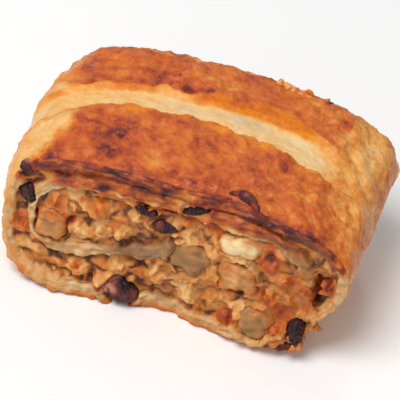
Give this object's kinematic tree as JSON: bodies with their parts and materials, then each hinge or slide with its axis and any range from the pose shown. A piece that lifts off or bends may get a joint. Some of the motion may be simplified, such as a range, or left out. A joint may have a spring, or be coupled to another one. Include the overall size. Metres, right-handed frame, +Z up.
{
  "type": "mini apple strudel",
  "caption": "Short piece cut from a rolled puff-pastry strudel, with one pale slash across its golden crust and apple and raisin filling at both cut faces.",
  "frame": {"origin": "bottom centre of the piece, on the surface it rests on", "axes": "+X across the cut face, +Y along the roll away from the shown cut face, +Z up"},
  "size_m": [0.1002, 0.0607, 0.0474],
  "materials": {
    "puff_pastry": "egg-washed puff pastry, baked golden brown",
    "apple_mass": "baked apple filling with crumbs",
    "raisin": "wrinkled baked raisin",
    "apple_dice": "soft baked apple"
  },
  "bodies": {
    "root": {"pastry_roll": "puff_pastry", "apple_filling": "apple_mass", "seam_filling": "apple_mass", "raisin_left": "raisin", "raisin_corner": "raisin", "raisin_base": "raisin", "raisin_right": "raisin", "raisin_middle": "raisin", "raisin_seam": "raisin", "raisin_upper": "raisin", "raisin_rear_top": "raisin", "raisin_rear_left": "raisin", "raisin_rear_middle": "raisin", "apple_left": "apple_dice", "apple_slice": "apple_dice", "apple_pale": "apple_dice", "apple_golden": "apple_dice", "apple_base": "apple_dice", "apple_rear_top": "apple_dice", "apple_rear_left": "apple_dice", "apple_rear_middle": "apple_dice", "apple_rear_right": "apple_dice"}
  },
  "joints": []
}
